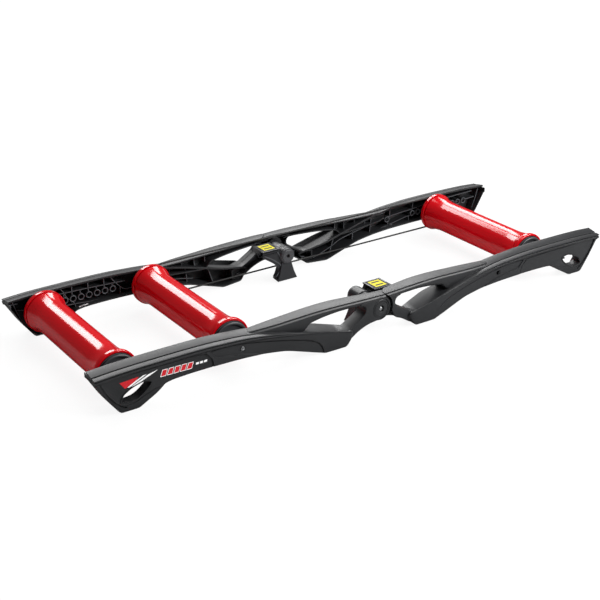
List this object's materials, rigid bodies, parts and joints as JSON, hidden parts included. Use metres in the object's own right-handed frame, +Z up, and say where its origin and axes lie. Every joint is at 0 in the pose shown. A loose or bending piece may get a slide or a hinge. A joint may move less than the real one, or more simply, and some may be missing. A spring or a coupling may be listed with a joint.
{
  "type": "bike rollers",
  "caption": "Folding bicycle training rollers: a low ribbed plastic frame hinged across its middle, with waisted drums on axles and a belt linking two of them.",
  "frame": {"origin": "on the floor under the fold's axis, at the centre of the frame's length and width", "axes": "+X along the frame to the end that has one drum, +Y to the left side, +Z up"},
  "size_m": [1.35, 0.481, 0.1095],
  "materials": {
    "frame_plastic": "black moulded plastic with a satin face",
    "drum_plastic": "polished red plastic",
    "cap_plastic": "dark grey moulded plastic",
    "lever_plastic": "dark grey moulded plastic",
    "steel": "zinc-plated steel",
    "label_vinyl": "bare yellow vinyl",
    "belt_rubber": "smooth black rubber cord"
  },
  "bodies": {
    "rear_frame": {"rear_rail_left": "frame_plastic", "rear_rail_right": "frame_plastic", "rear_axle": "steel", "middle_axle": "steel", "rear_spacer_left": "steel", "rear_spacer_right": "steel", "middle_spacer_left": "steel", "middle_spacer_right": "steel", "middle_axle_bolt_left": "steel", "middle_axle_bolt_right": "steel", "hinge_pin_left": "steel", "hinge_cap_left": "cap_plastic", "drive_belt": "belt_rubber"},
    "front_frame": {"front_rail_left": "frame_plastic", "front_rail_right": "frame_plastic", "front_axle": "steel", "front_spacer_left": "steel", "front_spacer_right": "steel", "hinge_pin_right": "steel", "hinge_cap_right": "cap_plastic"},
    "rear_roller": {"rear_drum": "drum_plastic", "rear_drum_cap_left": "cap_plastic", "rear_drum_cap_right": "cap_plastic", "rear_bearing_left": "steel", "rear_bearing_right": "steel"},
    "middle_roller": {"middle_drum": "drum_plastic", "middle_drum_cap_left": "cap_plastic", "middle_drum_cap_right": "cap_plastic", "middle_bearing_left": "steel", "middle_bearing_right": "steel"},
    "front_roller": {"front_drum": "drum_plastic", "front_drum_cap_left": "cap_plastic", "front_drum_cap_right": "cap_plastic", "front_bearing_left": "steel", "front_bearing_right": "steel"},
    "left_lever": {"release_lever_left": "lever_plastic", "lever_label_left": "label_vinyl"},
    "right_lever": {"release_lever_right": "lever_plastic", "lever_label_right": "label_vinyl"}
  },
  "joints": [
    {"name": "fold", "type": "hinge", "parent": "rear_frame", "child": "front_frame", "pos_m": [0, 0, 0.063], "axis": [0, 1, 0], "range_deg": [0, 105], "deforming": ["drive_belt"]},
    {"name": "rear_roller_spin", "type": "hinge", "parent": "rear_frame", "child": "rear_roller", "pos_m": [-0.60898, 0, 0.062], "axis": [0, 1, 0], "continuous": true},
    {"name": "middle_roller_spin", "type": "hinge", "parent": "rear_frame", "child": "middle_roller", "pos_m": [-0.34999, 0, 0.062], "axis": [0, 1, 0], "continuous": true},
    {"name": "front_roller_spin", "type": "hinge", "parent": "front_frame", "child": "front_roller", "pos_m": [0.49199, 0, 0.062], "axis": [0, 1, 0], "continuous": true},
    {"name": "left_lever_press", "type": "hinge", "parent": "rear_frame", "child": "left_lever", "pos_m": [0, 0, 0.063], "axis": [0, -1, 0], "range_deg": [0, 10], "stiffness_Nm_per_rad": 2, "springref_deg": -11.46},
    {"name": "right_lever_press", "type": "hinge", "parent": "front_frame", "child": "right_lever", "pos_m": [0, 0, 0.063], "axis": [0, 1, 0], "range_deg": [0, 10], "stiffness_Nm_per_rad": 2, "springref_deg": -11.46}
  ],
  "couplings": [
    {"joint": "front_roller_spin", "follows": "middle_roller_spin", "ratio": 1}
  ]
}
